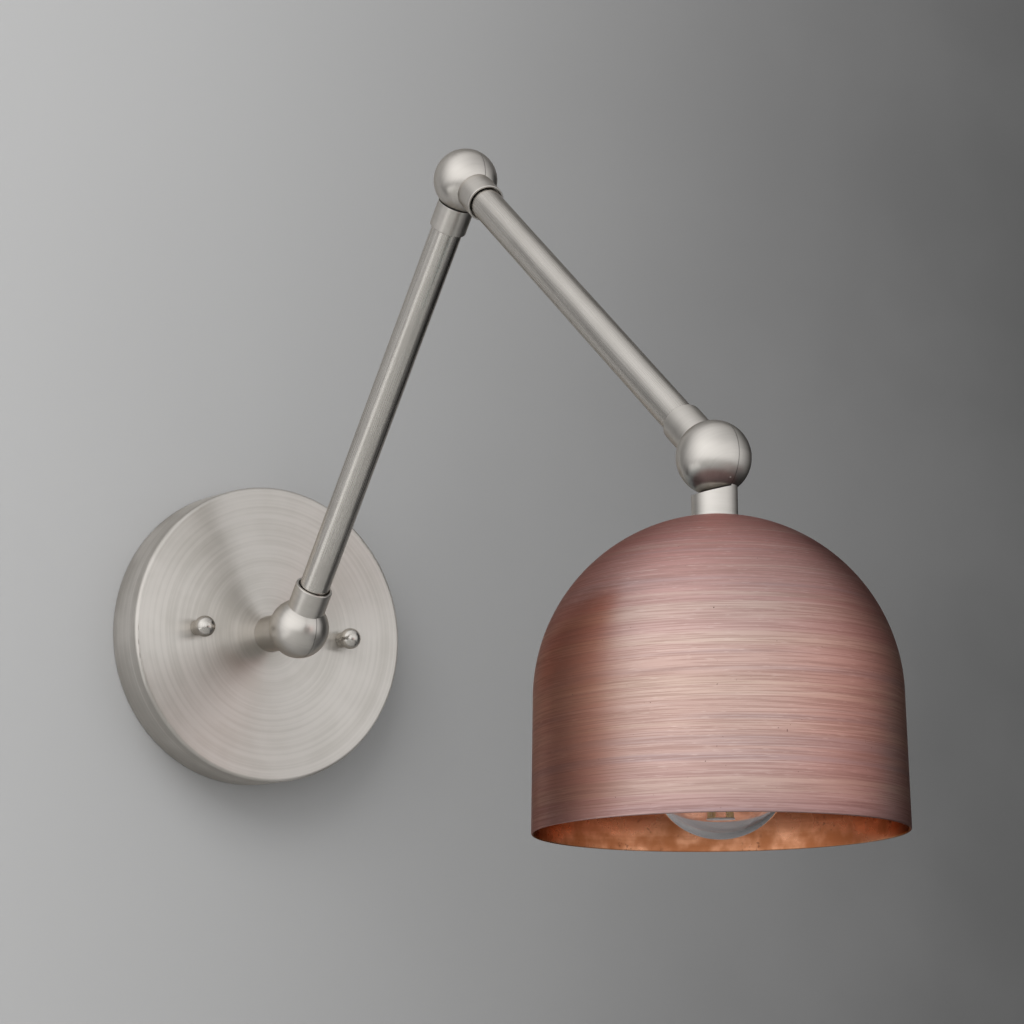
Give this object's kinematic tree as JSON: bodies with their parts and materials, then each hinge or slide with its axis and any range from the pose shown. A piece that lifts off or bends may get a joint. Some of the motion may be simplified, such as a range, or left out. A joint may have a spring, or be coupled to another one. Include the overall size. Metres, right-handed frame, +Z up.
{
  "type": "adjustable wall lamp",
  "caption": "Swing-arm wall lamp with a round canopy, tubular arms on ball swivels, and a domed copper shade over a clear round bulb.",
  "frame": {"origin": "centre of the canopy's back, on the wall plane, midway between the wall-box screw slots", "axes": "+Z up, +Y into the wall, the lamp stands out along -Y and swings in the plane x = 0"},
  "size_m": [0.1306, 0.4312, 0.2835],
  "materials": {
    "satin_nickel": "satin brushed nickel plate",
    "antique_copper": "antique copper outside, brushed round, bare copper inside",
    "zinc_steel": "zinc plated",
    "brass": "plain machined",
    "green_steel": "green passivated",
    "fibre": "pressed fibre",
    "lead_insulation": "smooth",
    "phenolic": "moulded",
    "black_glass": "fused",
    "bulb_aluminium": "rolled",
    "clear_glass": "clear blown",
    "phosphor": "yellow coated"
  },
  "bodies": {
    "wall_mount": {"canopy": "satin_nickel", "mounting_crossbar": "zinc_steel", "crossbar_studs": "zinc_steel", "stud_lock_nuts": "zinc_steel", "canopy_ball_nuts": "satin_nickel", "ground_screw": "green_steel", "canopy_nipple": "brass", "canopy_lock_washer": "zinc_steel", "canopy_hex_nut": "brass", "base_swivel_cap": "satin_nickel"},
    "lower_arm": {"base_swivel_body": "satin_nickel", "base_pivot_screw": "zinc_steel", "base_spring_washer": "zinc_steel", "base_friction_washer": "fibre", "lower_arm_tube": "satin_nickel", "lower_arm_nipples": "brass", "lower_arm_leads": "lead_insulation", "elbow_swivel_cap": "satin_nickel"},
    "upper_arm": {"elbow_swivel_body": "satin_nickel", "elbow_pivot_screw": "zinc_steel", "elbow_spring_washer": "zinc_steel", "elbow_friction_washer": "fibre", "upper_arm_tube": "satin_nickel", "upper_arm_nipples": "brass", "upper_arm_leads": "lead_insulation", "head_swivel_body": "satin_nickel", "head_pivot_screw": "zinc_steel", "head_spring_washer": "zinc_steel", "head_friction_washer": "fibre"},
    "head": {"head_swivel_cap": "satin_nickel", "shade_nipple": "brass", "shade": "antique_copper", "shade_washer": "zinc_steel", "shade_hex_nut": "brass", "socket_leads": "lead_insulation", "socket_cap": "satin_nickel", "socket_body": "phenolic", "socket_screw_shell": "brass", "socket_contact": "brass", "socket_terminal_screws": "brass", "bulb_contact": "brass", "bulb_insulator": "black_glass", "bulb_screw_base": "bulb_aluminium", "bulb_glass": "clear_glass", "bulb_stem": "clear_glass", "bulb_filaments": "phosphor", "bulb_support_wires": "zinc_steel"}
  },
  "joints": [
    {"name": "base_swivel", "type": "hinge", "parent": "wall_mount", "child": "lower_arm", "pos_m": [0, -0.0487, 0], "axis": [-1, 0, 0], "range_deg": [-141.5, 38.5]},
    {"name": "elbow_swivel", "type": "hinge", "parent": "lower_arm", "child": "upper_arm", "pos_m": [0, -0.18167, 0.16717], "axis": [-1, 0, 0], "range_deg": [-11.1, 188.9]},
    {"name": "head_swivel", "type": "hinge", "parent": "upper_arm", "child": "head", "pos_m": [0, -0.35938, 0.0313], "axis": [-1, 0, 0], "range_deg": [-50.3, 149.7]}
  ]
}
